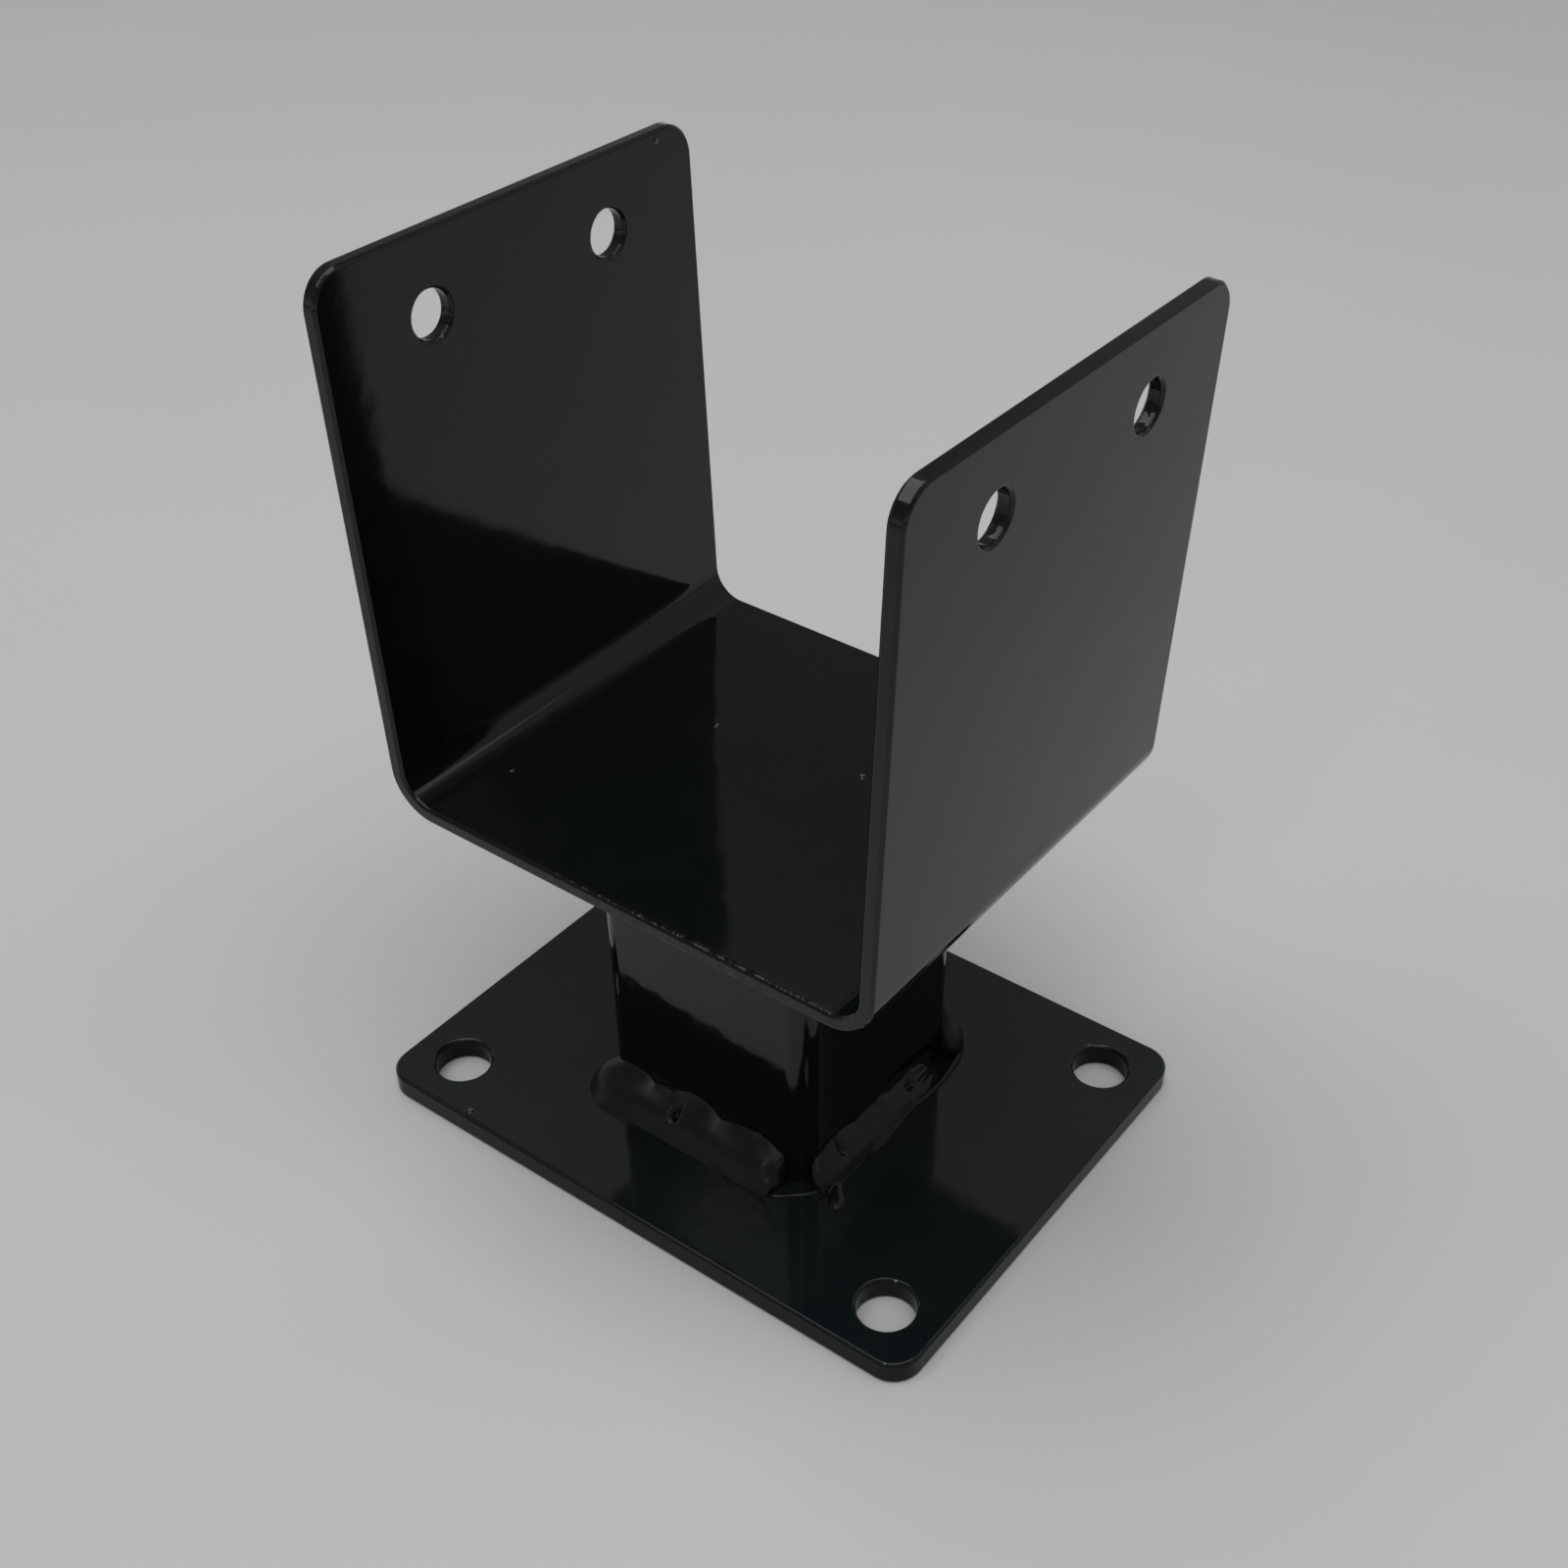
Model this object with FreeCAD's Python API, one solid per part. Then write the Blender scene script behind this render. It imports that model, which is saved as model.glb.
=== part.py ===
import FreeCAD, Part
import math
import os
from collections import namedtuple

# U bracket for a timber post: a folded saddle on a short square tube, welded to a drilled foot.
# X runs across the two flanges, Y along the saddle's fold lines, Z up. Sizes are millimetres.
# The origin is the centre of the foot's underside.

# Foot, a flat plate with rounded corners and one hole near each corner
FOOT_WIDTH = 130.0
FOOT_LENGTH = 100.0
FOOT_THICKNESS = 5.0
FOOT_CORNER = 6.0
FOOT_HOLE_RADIUS = 5.75
FOOT_HOLE_MARGIN = 11.5
FOOT_ARRIS = 0.5

# Square tube between the foot and the saddle
TUBE_SIDE = 50.0
TUBE_WALL = 3.0
TUBE_CORNER = 5.0
TUBE_LEAST_BORE_CORNER = 0.75
TUBE_HEIGHT = 70.0

# Saddle, folded from one sheet
SADDLE_GAP = 100.0
SADDLE_SHEET = 3.0
SADDLE_LENGTH = 90.0
FLANGE_HEIGHT = 100.0
FLANGE_LEAN = math.radians(2.0)
FOLD_INSIDE_RADIUS = 6.0
FLANGE_CORNER = 6.5
FLANGE_HOLE_RADIUS = 4.25
FLANGE_HOLE_SPACING = 43.0
FLANGE_HOLE_DROP = 14.0
SADDLE_ARRIS = 0.5

# Fillet welds, one hand-laid bead on each side of the tube. Legs are lengths on the metal, and an
# end is the length over which a bead narrows to its tip.
FOOT_WELD_LEG = 6.2
HEAD_WELD_LEG = 4.2
WELD_END = 5.0
WELD_SINK = 1.0
WELD_CONVEXITY = 0.12
WELD_TIP = 0.45
FOOT_WELD_STATIONS = 20
HEAD_WELD_STATIONS = 6

# A puddle's middle and half length are shares of half the tube's side, measured along the bead from
# the middle of the side. Its rises over the bead's plain legs are shares of the leg.
Puddle = namedtuple("Puddle", "middle half_length wall_rise plate_rise")

# A bead's start and stop are shares of half the tube's side, and past the flat they go on round the
# tube's corner. Its plain legs on the wall and the plate are shares of the leg.
Bead = namedtuple("Bead", "start stop wall_leg plate_leg puddles")

FOOT_BEADS = {
    "front": Bead(-1.08, 0.77, 1.10, 1.02, [
        Puddle(-1.00, 0.18, 0.10, 0.03),
        Puddle(-0.70, 0.25, 0.32, 0.24),
        Puddle(-0.09, 0.26, 0.52, 0.05),
        Puddle(0.50, 0.26, 0.31, 0.08),
    ]),
    "right": Bead(-0.90, 0.74, 0.74, 0.71, [
        Puddle(-0.64, 0.26, 0.53, 0.05),
        Puddle(-0.14, 0.25, 0.32, 0.11),
        Puddle(0.32, 0.20, 0.11, 0.02),
    ]),
    "back": Bead(-1.08, 0.76, 1.03, 0.97, [
        Puddle(-0.94, 0.22, 0.39, 0.11),
        Puddle(-0.52, 0.26, 0.23, 0.15),
        Puddle(0.04, 0.28, 0.35, 0.08),
        Puddle(0.52, 0.24, 0.26, 0.05),
    ]),
    "left": Bead(-0.86, 0.74, 0.87, 0.82, [
        Puddle(-0.60, 0.26, 0.39, 0.10),
        Puddle(-0.04, 0.28, 0.27, 0.15),
        Puddle(0.50, 0.25, 0.34, 0.06),
    ]),
}
HEAD_BEAD = Bead(-0.80, 0.80, 1.0, 1.0, [])
SIDES = ("front", "right", "back", "left")

# Places that follow from the sizes
FOOT_TOP = FOOT_THICKNESS
WEB_UNDERSIDE = FOOT_TOP + TUBE_HEIGHT
FLANGE_TOP = WEB_UNDERSIDE + FLANGE_HEIGHT

UP = FreeCAD.Vector(0, 0, 1)
ACROSS = FreeCAD.Vector(1, 0, 0)
ALONG = FreeCAD.Vector(0, 1, 0)
ORIGIN = FreeCAD.Vector(0, 0, 0)
SHARP_ANGLE = math.radians(30)


def outline(corners, radii):
    """Closed wire through the corners, each rounded by its own radius. Zero leaves a corner sharp."""
    count = len(corners)
    entries = []
    exits = []
    middles = []
    for index, corner in enumerate(corners):
        before = (corners[index - 1] - corner).normalize()
        after = (corners[(index + 1) % count] - corner).normalize()
        half_angle = before.getAngle(after) / 2
        inward = (before + after).normalize()
        cut_back = radii[index] / math.tan(half_angle)
        entries.append(corner + before * cut_back)
        exits.append(corner + after * cut_back)
        middles.append(corner + inward * (radii[index] / math.sin(half_angle) - radii[index]))
    edges = []
    for index in range(count):
        if radii[index] > 0:
            edges.append(Part.Arc(entries[index], middles[index], exits[index]).toShape())
        edges.append(Part.makeLine(exits[index], entries[(index + 1) % count]))
    return Part.Wire(edges)


def rounded_bar(width, length, height, radius, bottom):
    """Upright bar of rounded rectangular section, centred on the Z axis."""
    half_x = width / 2
    half_y = length / 2
    corners = [
        FreeCAD.Vector(-half_x, -half_y, bottom),
        FreeCAD.Vector(half_x, -half_y, bottom),
        FreeCAD.Vector(half_x, half_y, bottom),
        FreeCAD.Vector(-half_x, half_y, bottom),
    ]
    return Part.Face(outline(corners, [radius] * len(corners))).extrude(UP * height)


def sharp_edges(shape):
    """Edges where two faces meet at an angle, leaving out the seams of smooth joins."""
    found = []
    for edge in shape.Edges:
        faces = shape.ancestorsOfType(edge, Part.Face)
        if len(faces) != 2:
            continue
        middle = edge.valueAt((edge.FirstParameter + edge.LastParameter) / 2)
        normals = []
        for face in faces:
            u, v = face.Surface.parameter(middle)
            normals.append(face.normalAt(u, v))
        if normals[0].getAngle(normals[1]) > SHARP_ANGLE:
            found.append(edge)
    return found


def soften(shape, size):
    """Breaks every sharp edge by a small bevel, as deburring leaves it."""
    return shape.makeChamfer(size, sharp_edges(shape))


def base_plate():
    """Foot plate, drilled near its four corners."""
    plate = rounded_bar(FOOT_WIDTH, FOOT_LENGTH, FOOT_THICKNESS, FOOT_CORNER, 0)
    hole_x = FOOT_WIDTH / 2 - FOOT_HOLE_MARGIN
    hole_y = FOOT_LENGTH / 2 - FOOT_HOLE_MARGIN
    for x in (-hole_x, hole_x):
        for y in (-hole_y, hole_y):
            place = FreeCAD.Vector(x, y, 0)
            plate = plate.cut(Part.makeCylinder(FOOT_HOLE_RADIUS, FOOT_THICKNESS, place, UP))
    return soften(plate, FOOT_ARRIS)


def stub_tube():
    """Square tube with rolled corners, cut square at both ends."""
    bore_side = TUBE_SIDE - 2 * TUBE_WALL
    bore_corner = max(TUBE_CORNER - TUBE_WALL, TUBE_LEAST_BORE_CORNER)
    body = rounded_bar(TUBE_SIDE, TUBE_SIDE, TUBE_HEIGHT, TUBE_CORNER, FOOT_TOP)
    bore = rounded_bar(bore_side, bore_side, TUBE_HEIGHT, bore_corner, FOOT_TOP)
    return body.cut(bore)


def u_saddle():
    """One sheet folded twice into a U, with rounded flange corners and two holes in each flange."""
    start = -SADDLE_LENGTH / 2
    web_top = WEB_UNDERSIDE + SADDLE_SHEET
    rise = FLANGE_TOP - web_top
    inside_top = SADDLE_GAP / 2 + rise * math.tan(FLANGE_LEAN)
    outside_top = inside_top + SADDLE_SHEET * math.cos(FLANGE_LEAN)
    outside_top_level = FLANGE_TOP - SADDLE_SHEET * math.sin(FLANGE_LEAN)
    outside_foot = outside_top - (outside_top_level - WEB_UNDERSIDE) * math.tan(FLANGE_LEAN)
    right_half = [
        (outside_foot, WEB_UNDERSIDE, FOLD_INSIDE_RADIUS + SADDLE_SHEET),
        (outside_top, outside_top_level, 0),
        (inside_top, FLANGE_TOP, 0),
        (SADDLE_GAP / 2, web_top, FOLD_INSIDE_RADIUS),
    ]
    left_half = [(-x, z, radius) for x, z, radius in reversed(right_half)]
    section = right_half + left_half
    corners = [FreeCAD.Vector(x, start, z) for x, z, radius in section]
    radii = [radius for x, z, radius in section]
    sheet = Part.Face(outline(corners, radii)).extrude(ALONG * SADDLE_LENGTH)
    sheet = sheet.makeFillet(FLANGE_CORNER, top_corner_edges(sheet))
    drill_start = FreeCAD.Vector(-outside_top, 0, FLANGE_TOP - FLANGE_HOLE_DROP)
    for y in (-FLANGE_HOLE_SPACING / 2, FLANGE_HOLE_SPACING / 2):
        drill = Part.makeCylinder(FLANGE_HOLE_RADIUS, 2 * outside_top, drill_start + ALONG * y, ACROSS)
        sheet = sheet.cut(drill)
    return soften(sheet, SADDLE_ARRIS)


def top_corner_edges(sheet):
    """The short edges across the sheet at both ends of each flange's top."""
    found = []
    near = SADDLE_SHEET / 2
    for edge in sheet.Edges:
        centre = edge.CenterOfMass
        at_top = abs(centre.z - FLANGE_TOP) < near
        at_end = abs(abs(centre.y) - SADDLE_LENGTH / 2) < near
        if at_top and at_end:
            found.append(edge)
    return found


def puddle_rise(puddles, along, direction):
    """Rise of a row of puddles at a share along the side. Each is a half ellipse, and the highest counts."""
    highest = 0
    for puddle in puddles:
        share = 1 - ((along - puddle.middle) / puddle.half_length) ** 2
        if share > 0:
            highest = max(highest, getattr(puddle, direction) * math.sqrt(share))
    return highest


def along_tube(position):
    """Point at the foot of the tube's front, and the way out of it. Past the flat it turns the corner."""
    flat = TUBE_SIDE / 2 - TUBE_CORNER
    turned = math.copysign(max(0, abs(position) - flat) / TUBE_CORNER, position)
    outward = FreeCAD.Vector(math.sin(turned), -math.cos(turned), 0)
    corner_centre = FreeCAD.Vector(max(-flat, min(flat, position)), -flat, 0)
    return corner_centre + outward * TUBE_CORNER, outward


def bead_section(position, wall_leg, plate_leg):
    """Section across a bead: a convex face between its two toes, and a body sunk into both metals."""
    foot, outward = along_tube(position)
    bulge = (1 + WELD_CONVEXITY) / 2
    wall_toe = foot + UP * wall_leg
    crown = foot + outward * plate_leg * bulge + UP * wall_leg * bulge
    plate_toe = foot + outward * plate_leg
    sunk_under = plate_toe - UP * WELD_SINK
    sunk_root = foot - outward * WELD_SINK - UP * WELD_SINK
    sunk_behind = wall_toe - outward * WELD_SINK
    return Part.Wire([
        Part.Arc(wall_toe, crown, plate_toe).toShape(),
        Part.makeLine(plate_toe, sunk_under),
        Part.makeLine(sunk_under, sunk_root),
        Part.makeLine(sunk_root, sunk_behind),
        Part.makeLine(sunk_behind, wall_toe),
    ])


def weld_bead(bead, leg, stations):
    """Bead at the foot of the tube's front, ruled through its sections and trimmed to both metals."""
    start = bead.start * TUBE_SIDE / 2
    stop = bead.stop * TUBE_SIDE / 2
    sections = []
    for station in range(stations + 1):
        position = (start + stop) / 2 - (stop - start) / 2 * math.cos(math.pi * station / stations)
        along = position / (TUBE_SIDE / 2)
        short = max(0, 1 - min(position - start, stop - position) / WELD_END)
        narrowing = max(WELD_TIP, math.sqrt(max(0, 1 - short * short)))
        wall_leg = leg * narrowing * (bead.wall_leg + puddle_rise(bead.puddles, along, "wall_rise"))
        plate_leg = leg * narrowing * (bead.plate_leg + puddle_rise(bead.puddles, along, "plate_rise"))
        sections.append(bead_section(position, wall_leg, plate_leg))
    tube = rounded_bar(TUBE_SIDE, TUBE_SIDE, TUBE_HEIGHT, TUBE_CORNER, 0)
    foot = rounded_bar(FOOT_WIDTH, FOOT_LENGTH, FOOT_THICKNESS, FOOT_CORNER, -FOOT_THICKNESS)
    return Part.makeLoft(sections, True, True).cut(tube.fuse(foot))


def turn_to(side):
    """Degrees from the front of the tube round to one of its sides."""
    return 360 / len(SIDES) * SIDES.index(side)


def foot_weld(side):
    """Bead in the angle between the foot and one side of the tube."""
    bead = weld_bead(FOOT_BEADS[side], FOOT_WELD_LEG, FOOT_WELD_STATIONS)
    bead.rotate(ORIGIN, UP, turn_to(side))
    bead.translate(UP * FOOT_TOP)
    return bead


def head_weld(side):
    """Plain bead in the angle between one side of the tube's head and the underside of the web."""
    bead = weld_bead(HEAD_BEAD, HEAD_WELD_LEG, HEAD_WELD_STATIONS).mirror(ORIGIN, UP)
    bead.rotate(ORIGIN, UP, turn_to(side))
    bead.translate(UP * WEB_UNDERSIDE)
    return bead


NODES = {
    "base_plate": base_plate(),
    "stub_tube": stub_tube(),
    "u_saddle": u_saddle(),
}
for side_name in SIDES:
    NODES["foot_weld_" + side_name] = foot_weld(side_name)
    NODES["head_weld_" + side_name] = head_weld(side_name)

os.makedirs("parts", exist_ok=True)
for node, shape in NODES.items():
    solid = shape.Solids[0]
    print(node, shape.isValid(), len(shape.Solids), round(solid.Volume, 1))
    solid.exportStep("parts/" + node + ".step")
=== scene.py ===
import math
from collections import namedtuple

import bpy
import numpy as np
from mathutils import Matrix, Vector


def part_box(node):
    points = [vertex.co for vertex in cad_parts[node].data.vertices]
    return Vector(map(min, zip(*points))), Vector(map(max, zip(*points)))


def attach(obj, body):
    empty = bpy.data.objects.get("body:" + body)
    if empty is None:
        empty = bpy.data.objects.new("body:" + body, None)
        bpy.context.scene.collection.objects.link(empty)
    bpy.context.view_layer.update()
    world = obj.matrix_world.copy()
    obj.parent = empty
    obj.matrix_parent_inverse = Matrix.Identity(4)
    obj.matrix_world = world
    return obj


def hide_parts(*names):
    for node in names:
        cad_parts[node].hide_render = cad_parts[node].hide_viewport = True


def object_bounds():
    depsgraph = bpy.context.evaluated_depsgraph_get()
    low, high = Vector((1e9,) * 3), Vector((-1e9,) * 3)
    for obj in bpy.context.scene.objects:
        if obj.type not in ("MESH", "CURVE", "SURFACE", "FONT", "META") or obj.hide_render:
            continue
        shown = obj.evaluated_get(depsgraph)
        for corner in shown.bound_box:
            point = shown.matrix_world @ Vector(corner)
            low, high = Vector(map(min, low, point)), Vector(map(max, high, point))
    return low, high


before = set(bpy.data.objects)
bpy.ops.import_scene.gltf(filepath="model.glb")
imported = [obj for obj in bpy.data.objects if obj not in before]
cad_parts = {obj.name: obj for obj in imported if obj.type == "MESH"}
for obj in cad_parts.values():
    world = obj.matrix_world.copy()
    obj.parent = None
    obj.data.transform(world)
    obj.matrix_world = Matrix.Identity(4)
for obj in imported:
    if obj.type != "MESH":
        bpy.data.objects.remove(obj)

# Gloss black U bracket: a folded saddle on a short square tube, welded to a drilled foot.
# X runs across the two flanges, Y along the folds, Z up. Places are metres, and MM turns
# millimetres into them.
MM = 0.001
cad_low, cad_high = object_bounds()
tube_low, tube_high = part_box("stub_tube")
saddle_low, saddle_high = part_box("u_saddle")

FOOT_TOP = tube_low.z
TUBE_HALF = tube_high.x
TUBE_CORNER = 5.0 * MM
SADDLE_SHEET = 3.0 * MM
WEB_UNDERSIDE = saddle_low.z
WEB_TOP = WEB_UNDERSIDE + SADDLE_SHEET
SADDLE_END = saddle_high.y
FLANGE_HOLE_RADIUS = 4.25 * MM
FLANGE_HOLE_OFFSET = 21.5 * MM
FLANGE_HOLE_DROP = 14.0 * MM
FLANGE_HOLE_HEIGHT = saddle_high.z - FLANGE_HOLE_DROP


# Shader maths


class Value:
    """A node's output that takes part in arithmetic. Each operator adds one Math node."""

    def __init__(self, finish, socket):
        self.finish = finish
        self.socket = socket

    def math(self, operation, *terms):
        return self.finish.node("ShaderNodeMath", {"operation": operation}, dict(enumerate(terms)))

    def __abs__(self):
        return self.math("ABSOLUTE", self)

    def __add__(self, other):
        return self.math("ADD", self, other)

    def __sub__(self, other):
        return self.math("SUBTRACT", self, other)

    def __mul__(self, other):
        return self.math("MULTIPLY", self, other)

    def __gt__(self, other):
        return self.math("GREATER_THAN", self, other)

    def __lt__(self, other):
        return self.math("LESS_THAN", self, other)


# How many finer layers a noise has
PLAIN = 1.0
SOFT = 2.0
ROUGH = 3.0
ROUGHER = 4.0


class Finish:
    """The nodes of a material or of the studio, with one method that adds any node."""

    def __init__(self, owner, coordinates="Object"):
        owner.use_nodes = True
        self.owner = owner
        self.tree = owner.node_tree
        self.tree.nodes.clear()
        self.place = self.node("ShaderNodeTexCoord", {}, {}, coordinates)

    def node(self, kind, settings, values, output=0):
        """Adds a node, sets its settings or its ramp's stops, and then gives each named socket a
        value or a link."""
        made = self.tree.nodes.new(kind)
        for name, setting in settings.items():
            if name == "stops":
                set_stops(made.color_ramp.elements, setting)
            else:
                setattr(made, name, setting)
        for name, value in values.items():
            if isinstance(value, Value):
                self.tree.links.new(value.socket, made.inputs[name])
            else:
                made.inputs[name].default_value = value
        return Value(self, made.outputs[output])

    def noise(self, length, layers, stretch=(1, 1, 1)):
        """Noise from 0 to 1 whose lumps are about the given length, in metres."""
        scaled = self.node("ShaderNodeMapping", {}, {"Vector": self.place, "Scale": stretch})
        values = {"Vector": scaled, "Scale": 1 / length, "Detail": layers}
        return self.node("ShaderNodeTexNoise", {}, values)

    def mix(self, factor, first, second):
        """Colour between two colours."""
        values = {"Factor": factor, "A": first, "B": second}
        return self.node("ShaderNodeMix", {"data_type": "RGBA"}, values, "Result")

    def bump(self, height, depth, below=None):
        """Normals of a relief whose height runs from 0 to 1 over the given depth, in metres."""
        values = {"Height": height, "Distance": depth}
        if below is not None:
            values["Normal"] = below
        return self.node("ShaderNodeBump", {}, values)

    def along(self, axis):
        """The place's X, Y or Z, in metres."""
        return self.node("ShaderNodeSeparateXYZ", {}, {"Vector": self.place}, axis)

    def away_from(self, point):
        """Distance of the place from a point, in metres."""
        values = {0: self.place, 1: point}
        return self.node("ShaderNodeVectorMath", {"operation": "DISTANCE"}, values, "Value")

    def fade(self, value, nothing, full):
        """0 at or past the value called nothing, 1 at or past the value called full."""
        return self.node("ShaderNodeMapRange", {}, {"Value": value, "From Min": nothing, "From Max": full})

    def shader(self, **sockets):
        """Principled shader. Its sockets are named with underscores for spaces."""
        values = {name.replace("_", " "): value for name, value in sockets.items()}
        return self.node("ShaderNodeBsdfPrincipled", {}, values)

    def shown(self, shader, kind="ShaderNodeOutputMaterial"):
        """Links the shader to the output and hands back the material or the studio."""
        made = self.tree.nodes.new(kind)
        self.tree.links.new(shader.socket, made.inputs["Surface"])
        return self.owner


def set_stops(elements, stops):
    """Gives a ramp its grey stops, each a position and a level in rising order."""
    while len(elements) < len(stops):
        elements.new(1.0)
    for number, (position, level) in enumerate(stops):
        elements[number].position = position
        elements[number].color = (level, level, level, 1.0)


# Finishes

# The coat's colours, how far it mirrors, and how much paler each piece's coat is
COAT_BLACK = (0.0017, 0.0028, 0.0031, 1.0)
COAT_PALE_BLACK = (0.0030, 0.0043, 0.0046, 1.0)
TONE_LENGTH = 9 * MM
SHEET_HAZE = 1.2
# The foot's coat is paler: painted light standing in for the light reflected in its top
PLATE_PAINTED_LIGHT = 2.8
TUBE_HAZE = 1.1
WELD_HAZE = 1.2
COAT_IOR = 1.42
# The foot's cut sides mirror less: painted shade for the floor's shadow that they reflect
SHADED_SIDE_IOR = 1.22
WELD_IOR = 1.36

# Roughness: the least, what smudges add, and what the duller coat on a cut edge adds
COAT_ROUGHNESS = 0.045
SMUDGE_ROUGHNESS = 0.07
SMUDGE_LENGTH = 31 * MM
THIN_COAT_ROUGHNESS = 0.12
WELD_ROUGHNESS = 0.26
WELD_MOTTLE_ROUGHNESS = 0.14
WELD_MOTTLE_LENGTH = 4 * MM

# Relief of the coat on every piece: broken arrises, slow waves, orange peel, dust and nibs
ARRIS_ROUNDING = 0.45 * MM
ARRIS_SAMPLES = 8
WAVE_LENGTH = 13 * MM
WAVE_DEPTH = 0.07 * MM
TUBE_WAVE_LENGTH = 9 * MM
TUBE_WAVE_DEPTH = 0.112 * MM
WELD_WAVE_LENGTH = 3.2 * MM
WELD_WAVE_DEPTH = 0.056 * MM
PEEL_LENGTH = 1.5 * MM
PEEL_DEPTH = 0.0035 * MM
WELD_PEEL_DEPTH = 0.00875 * MM
DUST_SPACING = 22 * MM
DUST_SHARE = 0.035
DUST_HEIGHT = 0.25 * MM
NIB_RADIUS = 0.7 * MM
NIB_HEIGHT = 0.45 * MM

# Burr under the web's front arris, to the right of where it starts
BURR_START = -15.0 * MM
BURR_REACH = 1.2 * MM
BURR_RISE = 0.4 * MM
BURR_LENGTH = 3.0 * MM
BURR_STRETCH = (1, 1, 0.5)
BURR_DEPTH = 0.36 * MM

# Coat pooled in the flange holes
POOL_MARGIN = 0.5 * MM
POOL_LENGTH = 2.4 * MM
POOL_DEPTH = 0.30 * MM

# The foot's cut sides, where its coat is rougher and mirrors less as painted shade for the floor's shadow
# beside it: how far below its top that starts and ends
CUT_SIDE_START = 0.1 * MM
CUT_SIDE_END = 0.5 * MM

# Larger nibs of dust caught in the coat: two near the foot's holes and two on the web
PLATE_NIBS = ((-42.1, -48.2, 5.0), (48.7, 42.2, 5.0))
WEB_NIBS = ((-41.3, -27.0, 78.0), (-20.2, 6.6, 78.0))

PAPER_GREY = (0.60, 0.60, 0.60, 1.0)
PAPER_PALE_GREY = (0.63, 0.63, 0.63, 1.0)
PAPER_MOTTLE_LENGTH = 160 * MM
PAPER_ROUGHNESS = 0.9
PAPER_IOR = 1.3


def bare_coat(finish, wave_length, wave_depth, peel_depth):
    """Normals of the coat: rounded arrises, slow waves, fine orange peel and a little dust."""
    rounded = finish.node("ShaderNodeBevel", {"samples": ARRIS_SAMPLES}, {"Radius": ARRIS_ROUNDING})
    waves = finish.bump(finish.noise(wave_length, SOFT), wave_depth, rounded)
    skin = finish.bump(finish.noise(PEEL_LENGTH, PLAIN), peel_depth, waves)
    cells = {"Vector": finish.place, "Scale": 1 / DUST_SPACING}
    away = finish.node("ShaderNodeTexVoronoi", {}, cells, "Distance")
    return finish.bump(finish.fade(away, DUST_SHARE, 0.0), DUST_HEIGHT, skin)


def coat_tone(finish, paleness):
    """Near black with a trace of green, mottled, and made paler by a factor, which on the foot is painted
    light.
    """
    tone = finish.mix(finish.noise(TONE_LENGTH, ROUGH), COAT_BLACK, COAT_PALE_BLACK)
    return finish.node("ShaderNodeVectorMath", {"operation": "SCALE"}, {"Vector": tone, "Scale": paleness})


def smudged(finish):
    """Roughness of the coat on steel: glossy, with faint smudges."""
    return finish.noise(SMUDGE_LENGTH, ROUGHER) * SMUDGE_ROUGHNESS + COAT_ROUGHNESS


def with_nibs(finish, skin, nibs):
    """Round nibs under the coat, at places in millimetres."""
    for nib in nibs:
        distance = finish.away_from(tuple(length * MM for length in nib))
        skin = finish.bump(finish.fade(distance, NIB_RADIUS, 0.0), NIB_HEIGHT, skin)
    return skin


def sheet_coat():
    """Coat of the folded sheet: burr under the web's front arris, and coat pooled in the holes."""
    finish = Finish(bpy.data.materials.new("gloss_black_sheet"))
    skin = bare_coat(finish, WAVE_LENGTH, WAVE_DEPTH, PEEL_DEPTH)
    across = finish.along("X")
    length = finish.along("Y")
    up = finish.along("Z")
    on_front = length < BURR_REACH - SADDLE_END
    on_web = up < WEB_TOP + BURR_RISE
    burr = finish.noise(BURR_LENGTH, ROUGH, BURR_STRETCH) * (on_front * on_web * (across > BURR_START))
    skin = finish.bump(burr, BURR_DEPTH, skin)
    off_axis = abs(length) - FLANGE_HOLE_OFFSET
    rise = up - FLANGE_HOLE_HEIGHT
    in_hole = off_axis * off_axis + rise * rise < (FLANGE_HOLE_RADIUS + POOL_MARGIN) ** 2
    skin = finish.bump(finish.noise(POOL_LENGTH, PLAIN) * in_hole, POOL_DEPTH, skin)
    skin = with_nibs(finish, skin, WEB_NIBS)
    tone = coat_tone(finish, SHEET_HAZE)
    coat = finish.shader(Base_Color=tone, Roughness=smudged(finish), IOR=COAT_IOR, Normal=skin)
    return finish.shown(coat)


def plate_coat():
    """Coat of the foot: paler all over as painted light, and rougher on its cut sides and in its holes,
    where it also mirrors less as painted shade.
    """
    finish = Finish(bpy.data.materials.new("gloss_black_plate"))
    skin = with_nibs(finish, bare_coat(finish, WAVE_LENGTH, WAVE_DEPTH, PEEL_DEPTH), PLATE_NIBS)
    roughness = smudged(finish)
    dull = roughness + THIN_COAT_ROUGHNESS
    # Paler tone: painted light standing in for the light reflected in the foot's top
    tone = coat_tone(finish, PLATE_PAINTED_LIGHT)
    coat = finish.shader(Base_Color=tone, Roughness=roughness, IOR=COAT_IOR, Normal=skin)
    # The cut sides and hole walls mirror less: painted shade for the floor's shadow that they reflect
    shaded_side = finish.shader(Base_Color=tone, Roughness=dull, IOR=SHADED_SIDE_IOR, Normal=skin)
    on_side = finish.fade(finish.along("Z"), FOOT_TOP - CUT_SIDE_START, FOOT_TOP - CUT_SIDE_END)
    return finish.shown(finish.node("ShaderNodeMixShader", {}, {0: on_side, 1: coat, 2: shaded_side}))


def tube_coat():
    """Coat of the tube, which follows the drawn steel's short waves."""
    finish = Finish(bpy.data.materials.new("gloss_black_tube"))
    skin = bare_coat(finish, TUBE_WAVE_LENGTH, TUBE_WAVE_DEPTH, PEEL_DEPTH)
    tone = coat_tone(finish, TUBE_HAZE)
    coat = finish.shader(Base_Color=tone, Roughness=smudged(finish), IOR=COAT_IOR, Normal=skin)
    return finish.shown(coat)


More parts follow.
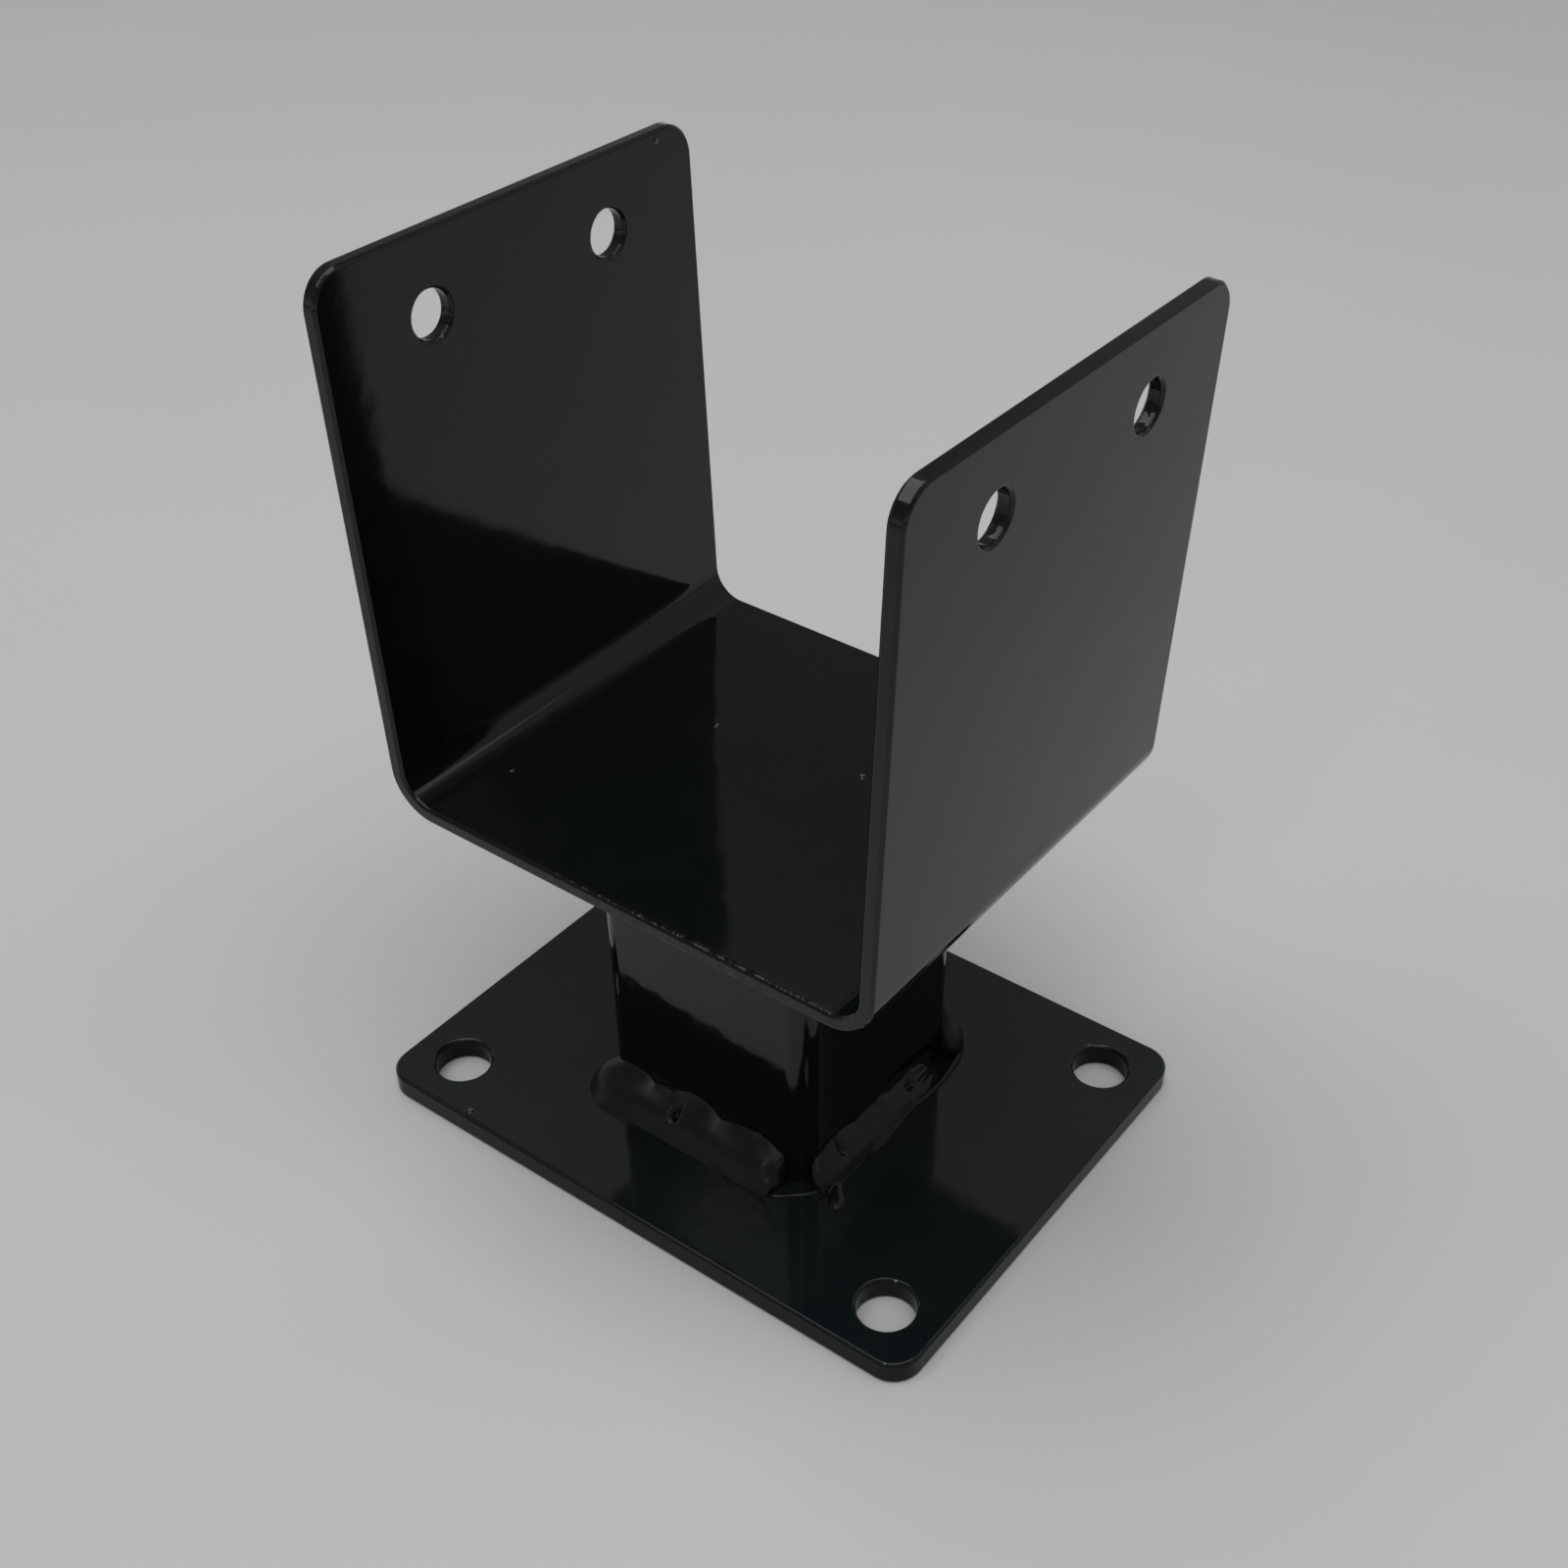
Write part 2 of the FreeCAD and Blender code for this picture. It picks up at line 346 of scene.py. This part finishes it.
def weld_coat():
    """Coat over weld metal: it can't level out there, so it is duller and mottled."""
    finish = Finish(bpy.data.materials.new("gloss_black_weld"))
    skin = bare_coat(finish, WELD_WAVE_LENGTH, WELD_WAVE_DEPTH, WELD_PEEL_DEPTH)
    mottled = finish.noise(WELD_MOTTLE_LENGTH, ROUGH) * WELD_MOTTLE_ROUGHNESS + WELD_ROUGHNESS
    tone = coat_tone(finish, WELD_HAZE)
    coat = finish.shader(Base_Color=tone, Roughness=mottled, IOR=WELD_IOR, Normal=skin)
    return finish.shown(coat)


def paper():
    """Matt pale paper of the studio's floor, very slightly mottled."""
    finish = Finish(bpy.data.materials.new("pale_paper"))
    tone = finish.mix(finish.noise(PAPER_MOTTLE_LENGTH, SOFT), PAPER_GREY, PAPER_PALE_GREY)
    return finish.shown(finish.shader(Base_Color=tone, Roughness=PAPER_ROUGHNESS, IOR=PAPER_IOR))


# Plate, tube and sheet: the solids keep their shape, and their folds and corners shade smooth

SHARP_ANGLE = math.radians(30)
MERGE_DISTANCE = 0.001 * MM


def kept_sharp():
    """Geometry nodes that shade faces smooth but keep every edge sharper than the sharp angle."""
    tree = bpy.data.node_groups.new("smooth_but_sharp_corners", "GeometryNodeTree")
    tree.interface.new_socket("Geometry", in_out="INPUT", socket_type="NodeSocketGeometry")
    tree.interface.new_socket("Geometry", in_out="OUTPUT", socket_type="NodeSocketGeometry")
    entry = tree.nodes.new("NodeGroupInput")
    angle = tree.nodes.new("GeometryNodeInputMeshEdgeAngle")
    sharp = tree.nodes.new("FunctionNodeCompare")
    sharp.data_type = "FLOAT"
    sharp.operation = "LESS_THAN"
    sharp.inputs["B"].default_value = SHARP_ANGLE
    faces = tree.nodes.new("GeometryNodeSetShadeSmooth")
    faces.domain = "FACE"
    edges = tree.nodes.new("GeometryNodeSetShadeSmooth")
    edges.domain = "EDGE"
    leave = tree.nodes.new("NodeGroupOutput")
    tree.links.new(entry.outputs[0], faces.inputs["Geometry"])
    tree.links.new(faces.outputs[0], edges.inputs["Geometry"])
    tree.links.new(angle.outputs["Unsigned Angle"], sharp.inputs["A"])
    tree.links.new(sharp.outputs[0], edges.inputs["Shade Smooth"])
    tree.links.new(edges.outputs[0], leave.inputs[0])
    return tree


SMOOTHING = kept_sharp()


def dress(node, material):
    """Gives a steel piece its coat, and shades its folds and corners smooth."""
    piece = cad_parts[node]
    piece.data.materials.clear()
    piece.data.materials.append(material)
    merge = piece.modifiers.new("merge", "WELD")
    merge.merge_threshold = MERGE_DISTANCE
    smooth = piece.modifiers.new("smooth", "NODES")
    smooth.node_group = SMOOTHING


dress("u_saddle", sheet_coat())
dress("base_plate", plate_coat())
dress("stub_tube", tube_coat())


# Weld beads

# Grid of a bead: the mean step along it, and how many points lie across its face
STATION_STEP = 0.25 * MM
RING_POINTS = 60

# How far a bead's toes and root sink into the metal, and how near the toes that happens
SINK = 0.2 * MM
SINK_POWER = 8

# The face's bulge past its chord, as a share, and the power of the sine that shapes it
BULGE = 0.10
BULGE_POWER = 1.5

# The power of the sine that leads from the lobed toes to the even middle of the face, and the length
# over which the legs are evened
EVEN_POWER = 0.35
EVEN_LENGTH = 7.0 * MM

# Crescent ripples, which lag in the middle of the face, and slow lumps, which twist along it
RIPPLE_PITCH = 2.1 * MM
RIPPLE_LAG = 2.5 * MM
RIPPLE_HEIGHT = 0.012 * MM
LUMP_LENGTH = 1.7 * MM
LUMP_TWIST_LENGTH = 4.3 * MM
LUMP_TURN = 3.1
LUMP_HEIGHT = 0.05 * MM

# Puddles blend by this power, and a deep pit bottoms out softly over this share of the face
PUDDLE_POWER = 4
PIT_SOFTNESS = 0.35

# Grid of a run of coat, how square its ends are, and how its width wavers
RUN_STATIONS = 70
RUN_POINTS = 16
RUN_END_POWER = 5
RUN_WAVER = 0.12
RUN_WAVER_TURN = 9
RUN_WAVER_PHASE = 1

# One puddle: its middle along the side, half its length, and how far it rises over the bead's plain
# legs on the wall and on the plate. A rise below 0 is a dip. All are millimetres.
Puddle = namedtuple("Puddle", "middle half_length wall_rise plate_rise")

# One pit in the face: its middle along the side, its share of the way from wall to plate, and half
# its length, half its width and its depth in millimetres.
Pit = namedtuple("Pit", "middle down half_length half_width depth")

# One run of coat or spatter on the plate: four points that steer it, half its width, and its height,
# all in millimetres.
Run = namedtuple("Run", "steers half_width height")

# The tube's four sides as ways out of it, the two ways in which a bead grows, the ends of the beads
# under the web, and plain ends, which are blunter than half a circle
FRONT = (0, -1)
RIGHT = (1, 0)
BACK = (0, 1)
LEFT = (-1, 0)
FROM_FOOT = 1
FROM_WEB = -1
HEAD_ENDS = (-20.0, 20.0)
ROUND_ENDS = (0.7, 0.7)

# One bead: the way out of its side of the tube, whether it grows up from the foot or down from the
# web, its two ends, its plain legs on the wall and on the plate, and its puddles, in millimetres. The
# phase starts its ripples, and blunt gives the length of each end as a share of the leg. Past the
# tube's flat, places are measured round its corner.
Bead = namedtuple(
    "Bead", "outward growth ends legs phase puddles pits blunt runs", defaults=((), ROUND_ENDS, ())
)

# Beside the right bead lie a drip at its near end, a tail along the plate and a low lip
RIGHT_RUNS = (
    Run(((26.0, -16.8), (28.6, -20.4), (30.6, -22.8), (32.8, -25.8)), 1.5, 1.0),
    Run(((28.6, 5.0), (29.8, 11.5), (29.9, 15.0), (27.6, 26.0)), 0.75, 0.9),
    Run(((20.2, -30.2), (22.4, -28.6), (25.0, -26.4), (27.4, -23.6)), 0.65, 0.45),
)

BEADS = {
    "foot_weld_front": Bead(
        outward=FRONT,
        growth=FROM_FOOT,
        ends=(-27.0, 20.4),
        legs=(6.6, 6.2),
        phase=0.3,
        puddles=(
            Puddle(-25.0, 4.0, 0.3, 0.2),
            Puddle(-18.0, 5.2, 2.3, 1.6),
            Puddle(-9.5, 3.0, 0.6, 0.3),
            Puddle(-2.2, 6.2, 3.5, 0.3),
            Puddle(7.0, 3.0, 0.6, 0.8),
            Puddle(12.3, 6.2, 2.1, 0.3),
            Puddle(13.6, 1.8, 2.4, 0.1),
        ),
        pits=(Pit(-5.2, 0.33, 0.8, 1.6, 1.9), Pit(20.4, 0.42, 2.4, 3.0, 1.5)),
        blunt=(0.75, 0.22),
    ),
    "foot_weld_right": Bead(
        outward=RIGHT,
        growth=FROM_FOOT,
        ends=(-23.2, 16.0),
        legs=(4.4, 4.2),
        phase=1.4,
        puddles=(
            Puddle(-15.5, 7.5, 3.6, 0.5),
            Puddle(-6.0, 5.0, 1.8, 0.9),
            Puddle(-0.8, 2.6, 2.2, 0.6),
            Puddle(4.5, 4.0, 0.4, 0.1),
            Puddle(9.3, 2.2, 1.0, 0.2),
        ),
        pits=(
            Pit(-15.8, 0.22, 0.7, 1.1, 1.3),
            Pit(7.6, 0.30, 1.4, 1.0, 1.2),
            Pit(13.6, 0.50, 4.4, 1.1, 1.2),
            Pit(12.8, 0.22, 3.0, 0.6, 0.6),
        ),
        blunt=(0.34, 1.3),
        runs=RIGHT_RUNS,
    ),
    "foot_weld_back": Bead(
        outward=BACK,
        growth=FROM_FOOT,
        ends=(-27.0, 19.0),
        legs=(6.4, 6.0),
        phase=2.6,
        puddles=(
            Puddle(-24.0, 4.4, 9.0, -1.2),
            Puddle(-13.0, 8.5, 1.4, 0.9),
            Puddle(1.0, 9.0, 2.2, 0.5),
            Puddle(13.0, 8.0, 1.6, 0.3),
        ),
        pits=(Pit(5.2, 0.4, 0.6, 1.0, 0.8),),
    ),
    "foot_weld_left": Bead(
        outward=LEFT,
        growth=FROM_FOOT,
        ends=(-21.5, 18.5),
        legs=(5.4, 5.1),
        phase=4.1,
        puddles=(Puddle(-15.0, 8.4, 2.4, 0.6), Puddle(-1.0, 9.0, 1.7, 0.9), Puddle(12.5, 8.2, 2.1, 0.4)),
        pits=(Pit(-8.0, 0.5, 0.6, 0.9, 0.7),),
    ),
    "head_weld_front": Bead(
        outward=FRONT,
        growth=FROM_WEB,
        ends=HEAD_ENDS,
        legs=(4.3, 4.0),
        phase=5.0,
        puddles=(Puddle(-13.0, 6.5, 1.0, 0.6), Puddle(1.0, 6.9, 1.3, 0.4), Puddle(13.5, 6.0, 0.9, 0.6)),
    ),
    "head_weld_right": Bead(
        outward=RIGHT,
        growth=FROM_WEB,
        ends=HEAD_ENDS,
        legs=(4.2, 4.1),
        phase=0.9,
        puddles=(Puddle(-12.0, 6.3, 1.2, 0.5), Puddle(2.0, 6.6, 0.9, 0.6), Puddle(14.0, 5.6, 1.1, 0.4)),
    ),
    "head_weld_back": Bead(
        outward=BACK,
        growth=FROM_WEB,
        ends=HEAD_ENDS,
        legs=(4.3, 4.2),
        phase=3.3,
        puddles=(Puddle(-14.0, 5.8, 1.1, 0.6), Puddle(0.0, 7.0, 1.2, 0.5), Puddle(14.0, 5.9, 1.0, 0.5)),
    ),
    "head_weld_left": Bead(
        outward=LEFT,
        growth=FROM_WEB,
        ends=HEAD_ENDS,
        legs=(4.2, 4.0),
        phase=2.0,
        puddles=(Puddle(-13.5, 6.0, 1.2, 0.5), Puddle(-1.0, 6.4, 1.0, 0.5), Puddle(12.0, 6.8, 1.2, 0.4)),
    ),
}


def puddle_rise(position, puddles, metal):
    """Rise of overlapping puddles on one metal. Each is a parabola, 1 less the square of its share, and
    they blend as the fourth root of the sum of their fourth powers. Dips are added."""
    middle = np.array([puddle.middle for puddle in puddles])[:, None] * MM
    half = np.array([puddle.half_length for puddle in puddles])[:, None] * MM
    rise = np.array([getattr(puddle, metal) for puddle in puddles])[:, None] * MM
    share = 1 - ((position[None, :] - middle) / half) ** 2
    raised = rise * np.clip(share, 0, 1)
    blended = (np.clip(raised, 0, None) ** PUDDLE_POWER).sum(0) ** (1 / PUDDLE_POWER)
    return blended + np.clip(raised, None, 0).sum(0)


def end_share(position, bead):
    """Share of the full leg left near the bead's ends, each a quarter ellipse: one leg high and
    its own share of a leg long."""
    leg = bead.legs[0] * MM
    past_start = np.clip(1 - (position - bead.ends[0] * MM) / (leg * bead.blunt[0]), 0, 1)
    past_stop = np.clip(1 - (bead.ends[1] * MM - position) / (leg * bead.blunt[1]), 0, 1)
    return np.sqrt(1 - past_start**2) * np.sqrt(1 - past_stop**2)


def evened(position, leg):
    """The leg averaged along the bead under a bell curve."""
    bell = np.exp(-(((position[:, None] - position[None, :]) / EVEN_LENGTH) ** 2))
    bell = bell * np.gradient(position)[None, :]
    return (bell * leg[None, :]).sum(1) / bell.sum(1)


def chord(wall_leg, plate_leg, angle):
    """Distance from the root to the straight line between two toes: 1 over the sum of the angle's
    cosine over the wall leg and its sine over the plate leg."""
    return 1 / (np.cos(angle) / wall_leg[:, None] + np.sin(angle) / plate_leg[:, None])


def bead_face(bead, position, angle):
    """Distance from the root to the face, by place along the bead and by angle down from the wall.
    It follows the chord of the lobed legs at the toes and of the evened legs between them, and bulges
    with the sine of twice the angle. Ripples and lumps are sines along the bead, and each pit is a bell.
    Half the sum of the distance and a hypotenuse keeps it above 0 where a pit cuts deep."""
    share = end_share(position, bead)
    fuller = np.sqrt(share)
    wall_leg = bead.legs[0] * MM + puddle_rise(position, bead.puddles, "wall_rise")
    plate_leg = bead.legs[1] * MM + puddle_rise(position, bead.puddles, "plate_rise")
    lobed = chord(share * wall_leg, share * plate_leg, angle)
    even = chord(fuller * evened(position, wall_leg), fuller * evened(position, plate_leg), angle)
    middle = np.sin(2 * angle)
    plain = lobed + middle**EVEN_POWER * (even - lobed)
    radius = plain * (1 + BULGE * middle**BULGE_POWER)

    place = position[:, None]
    ripples = np.cos(2 * math.pi * (place + RIPPLE_LAG * middle) / RIPPLE_PITCH + bead.phase)
    lumps = np.sin(place / LUMP_LENGTH + bead.phase) * np.sin(LUMP_TURN * angle + place / LUMP_TWIST_LENGTH)
    radius = radius + share[:, None] * middle * (RIPPLE_HEIGHT * ripples + LUMP_HEIGHT * lumps)
    face_width = bead.legs[0] * math.sqrt(2)
    for pit in bead.pits:
        off_along = (place - pit.middle * MM) / (pit.half_length * MM)
        off_down = (angle / (math.pi / 2) - pit.down) * face_width / pit.half_width
        radius = radius - pit.depth * MM * np.exp(-(off_along**2) - off_down**2)
    return (radius + np.sqrt(radius**2 + (PIT_SOFTNESS * plain) ** 2)) / 2


def tube_side(position, outward):
    """Points and outward directions along one side of the tube: straight, then round its corners.
    Past the flat, the position is measured round the corner's arc."""
    outward = np.array([*outward, 0.0])
    along = np.array([-outward[1], outward[0], 0.0])
    flat = TUBE_HALF - TUBE_CORNER
    turned = np.clip(np.abs(position) - flat, 0, None) / TUBE_CORNER * np.sign(position)
    straight = np.clip(position, -flat, flat)
    facing = np.cos(turned)[:, None] * outward + np.sin(turned)[:, None] * along
    points = flat * outward + straight[:, None] * along + TUBE_CORNER * facing
    return points, facing


def weld_bead(name, bead):
    """Fillet bead: its face swept along the foot or head of one side of the tube, at stations that
    crowd together towards its ends. Its toes and root sink a little into the metal."""
    start, stop = bead.ends
    count = int((stop - start) * MM / STATION_STEP)
    spread = np.linspace(0, math.pi, count + 1)[1:-1]
    position = (start + stop) / 2 * MM - (stop - start) / 2 * MM * np.cos(spread)
    angle = np.linspace(0, math.pi / 2, RING_POINTS)[None, :]
    radius = bead_face(bead, position, angle)
    root = np.full((len(position), 1), -SINK)
    height = np.hstack([radius * np.cos(angle) - SINK * np.sin(angle) ** SINK_POWER, root])
    reach = np.hstack([radius * np.sin(angle) - SINK * np.cos(angle) ** SINK_POWER, root])

    ground = np.array([0, 0, FOOT_TOP if bead.growth == FROM_FOOT else WEB_UNDERSIDE])
    upward = np.array([0, 0, bead.growth])
    points, facing = tube_side(position, bead.outward)
    rings = ground + points[:, None, :] + reach[:, :, None] * facing[:, None, :]
    rings = rings + height[:, :, None] * upward
    tips = ground + tube_side(np.array(bead.ends) * MM, bead.outward)[0]
    shells = [closed_shell(rings, tips[0], tips[1], bead.growth == FROM_FOOT)]
    shells += [coat_run(run) for run in bead.runs]
    return joined_piece(name + "_bead", shells)


def coat_run(run):
    """Low run on the plate: a cubic curve steered by four points carries a parabola, as high as the
    height in its middle and as wide as twice the half width, and narrows to each end."""
    steers = np.array(run.steers) * MM
    share = np.linspace(0, 1, RUN_STATIONS + 2)[1:-1, None]
    left = 1 - share
    weights = np.hstack([left**3, 3 * share * left**2, 3 * share**2 * left, share**3])
    spine = weights @ steers
    heading = np.gradient(spine, axis=0)
    heading = heading / np.linalg.norm(heading, axis=1, keepdims=True)
    aside = np.stack([-heading[:, 1], heading[:, 0]], -1)
    fullness = np.sqrt(1 - np.abs(2 * share - 1) ** RUN_END_POWER)
    fullness = fullness * (1 + RUN_WAVER * np.sin(RUN_WAVER_TURN * share + RUN_WAVER_PHASE))
    over = np.linspace(-1, 1, RUN_POINTS)
    across = np.hstack([over, 1, -1])[None, :] * run.half_width * MM * fullness
    up = np.hstack([run.height * MM * (1 - over**2), -SINK, -SINK])[None, :] * fullness
    ground = spine[:, None, :] + across[:, :, None] * aside[:, None, :]
    rings = np.dstack([ground, up + FOOT_TOP])
    first_tip = np.array([*steers[0], FOOT_TOP])
    last_tip = np.array([*steers[-1], FOOT_TOP])
    return closed_shell(rings, first_tip, last_tip, False)


def closed_shell(rings, first_tip, last_tip, flip):
    """Points and faces of a skin over rings, closed by a fan at each end. Flip turns faces round."""
    count, around = rings.shape[:2]
    points = np.vstack([rings.reshape(-1, 3), first_tip, last_tip])
    row = np.arange(count - 1)[:, None] * around
    here = np.arange(around)[None, :]
    after = (here + 1) % around
    quads = np.stack([row + here, row + after, row + around + after, row + around + here], -1)
    quads = quads.reshape(-1, 4)
    here = here.ravel()
    after = after.ravel()
    last = (count - 1) * around
    first_fan = np.stack([np.full(around, count * around), after, here], -1)
    last_fan = np.stack([np.full(around, count * around + 1), last + here, last + after], -1)
    faces = [*quads.tolist(), *first_fan.tolist(), *last_fan.tolist()]
    if flip:
        faces = [face[::-1] for face in faces]
    return points, faces


def joined_piece(name, shells):
    """One smooth object from closed shells."""
    points = np.vstack([shell_points for shell_points, shell_faces in shells])
    faces = []
    passed = 0
    for shell_points, shell_faces in shells:
        faces += [[passed + corner for corner in face] for face in shell_faces]
        passed += len(shell_points)
    mesh = bpy.data.meshes.new(name)
    mesh.from_pydata(points, [], faces)
    mesh.polygons.foreach_set("use_smooth", np.ones(len(faces), bool))
    mesh.update()
    piece = bpy.data.objects.new(name, mesh)
    bpy.context.scene.collection.objects.link(piece)
    return piece


WELD_COAT = weld_coat()
for weld_name, weld in BEADS.items():
    bead_piece = weld_bead(weld_name, weld)
    bead_piece.data.materials.append(WELD_COAT)
    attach(bead_piece, "root")
    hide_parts(weld_name)


# Stage: a plain pale floor, a dim studio round it and three soft lamps

FLOOR_HALF = 4.0
floor_mesh = bpy.data.meshes.new("studio_floor")
floor_corners = [
    (-FLOOR_HALF, -FLOOR_HALF, 0),
    (FLOOR_HALF, -FLOOR_HALF, 0),
    (FLOOR_HALF, FLOOR_HALF, 0),
    (-FLOOR_HALF, FLOOR_HALF, 0),
]
floor_mesh.from_pydata(floor_corners, [], [(0, 1, 2, 3)])
floor = bpy.data.objects.new("studio_floor", floor_mesh)
floor.data.materials.append(paper())
bpy.context.scene.collection.objects.link(floor)

# Brightness of the studio by the height of the direction looked in, 0 level and 1 straight up:
# all round, and behind to the right, where an even pale wall stands under a dark ceiling
STUDIO_GLOW = (
    (0.0, 0.60),
    (0.12, 0.40),
    (0.26, 0.20),
    (0.60, 0.16),
    (0.72, 0.32),
    (0.77, 0.32),
    (0.82, 0.10),
    (1.0, 0.10),
)
WALL_GLOW = ((0.0, 0.36), (0.78, 0.33), (0.83, 0.10), (1.0, 0.10))

# The way to the wall, and how nearly a direction has to point there for the wall to start and fill
WALL_FACING = (0.68, 0.73, 0.0)
WALL_START = 0.48
WALL_FULL = 0.58


def studio():
    """The world's own light: a level for each height, mixed with the wall's where it faces."""
    finish = Finish(bpy.data.worlds.new("studio"), "Generated")
    up = finish.along("Z")
    ways = {0: finish.place, 1: WALL_FACING}
    facing = finish.node("ShaderNodeVectorMath", {"operation": "DOT_PRODUCT"}, ways, "Value")
    all_round = finish.node("ShaderNodeValToRGB", {"stops": STUDIO_GLOW}, {"Fac": up})
    wall = finish.node("ShaderNodeValToRGB", {"stops": WALL_GLOW}, {"Fac": up})
    glow = finish.mix(finish.fade(facing, WALL_START, WALL_FULL), all_round, wall)
    return finish.shown(finish.node("ShaderNodeBackground", {}, {"Color": glow}), "ShaderNodeOutputWorld")


bpy.context.scene.world = studio()

# Square soft lamps: place, width and power
LAMPS = {
    "overhead_lamp": ((0.0, -0.20, 1.70), 1.9, 23.5),
    "small_lamp": ((0.20, -1.25, 0.95), 0.14, 0.55),
    "side_lamp": ((0.94, 0.77, 1.27), 0.42, 0.35),
}


def soft_lamp(name, place, width, power):
    """Square soft lamp at a place, facing the bracket's middle."""
    data = bpy.data.lights.new(name, "AREA")
    data.shape = "SQUARE"
    data.size = width
    data.energy = power
    lamp = bpy.data.objects.new(name, data)
    lamp.location = place
    aim = Vector((0, 0, cad_high.z / 2)) - Vector(place)
    lamp.rotation_euler = aim.to_track_quat("-Z", "Y").to_euler()
    bpy.context.scene.collection.objects.link(lamp)


for lamp_name, lamp_settings in LAMPS.items():
    soft_lamp(lamp_name, *lamp_settings)

# Camera, placed where the photograph's lines meet: yaw, tilt and roll of its axis, its lens and its
# sensor's width in millimetres, and where in the picture the axis falls, as shares of its width

CAMERA_PLACE = Vector((183.81, -234.59, 300.24)) * MM
CAMERA_YAW = math.radians(34.685)
CAMERA_TILT = math.radians(-39.865)
CAMERA_ROLL = math.radians(1.343)
CAMERA_LENS = 46.30
CAMERA_SENSOR = 36.0
CAMERA_SHIFT = (-0.0561, 0.0686)
CAMERA_NEAREST = 10 * MM

forward = Vector(
    (
        -math.sin(CAMERA_YAW) * math.cos(CAMERA_TILT),
        math.cos(CAMERA_YAW) * math.cos(CAMERA_TILT),
        math.sin(CAMERA_TILT),
    )
)
level = forward.cross(Vector((0, 0, 1))).normalized()
above = level.cross(forward)
picture_right = level * math.cos(CAMERA_ROLL) + above * math.sin(CAMERA_ROLL)
picture_up = above * math.cos(CAMERA_ROLL) - level * math.sin(CAMERA_ROLL)
camera_data = bpy.data.cameras.new("camera")
camera_data.sensor_width = CAMERA_SENSOR
camera_data.lens = CAMERA_LENS
camera_data.shift_x, camera_data.shift_y = CAMERA_SHIFT
camera_data.clip_start = CAMERA_NEAREST
camera = bpy.data.objects.new("camera", camera_data)
turn = Matrix((picture_right, picture_up, -forward)).transposed()
camera.matrix_world = Matrix.Translation(CAMERA_PLACE) @ turn.to_4x4()
bpy.context.scene.collection.objects.link(camera)
bpy.context.scene.camera = camera
bpy.context.scene.view_settings.view_transform = "Standard"
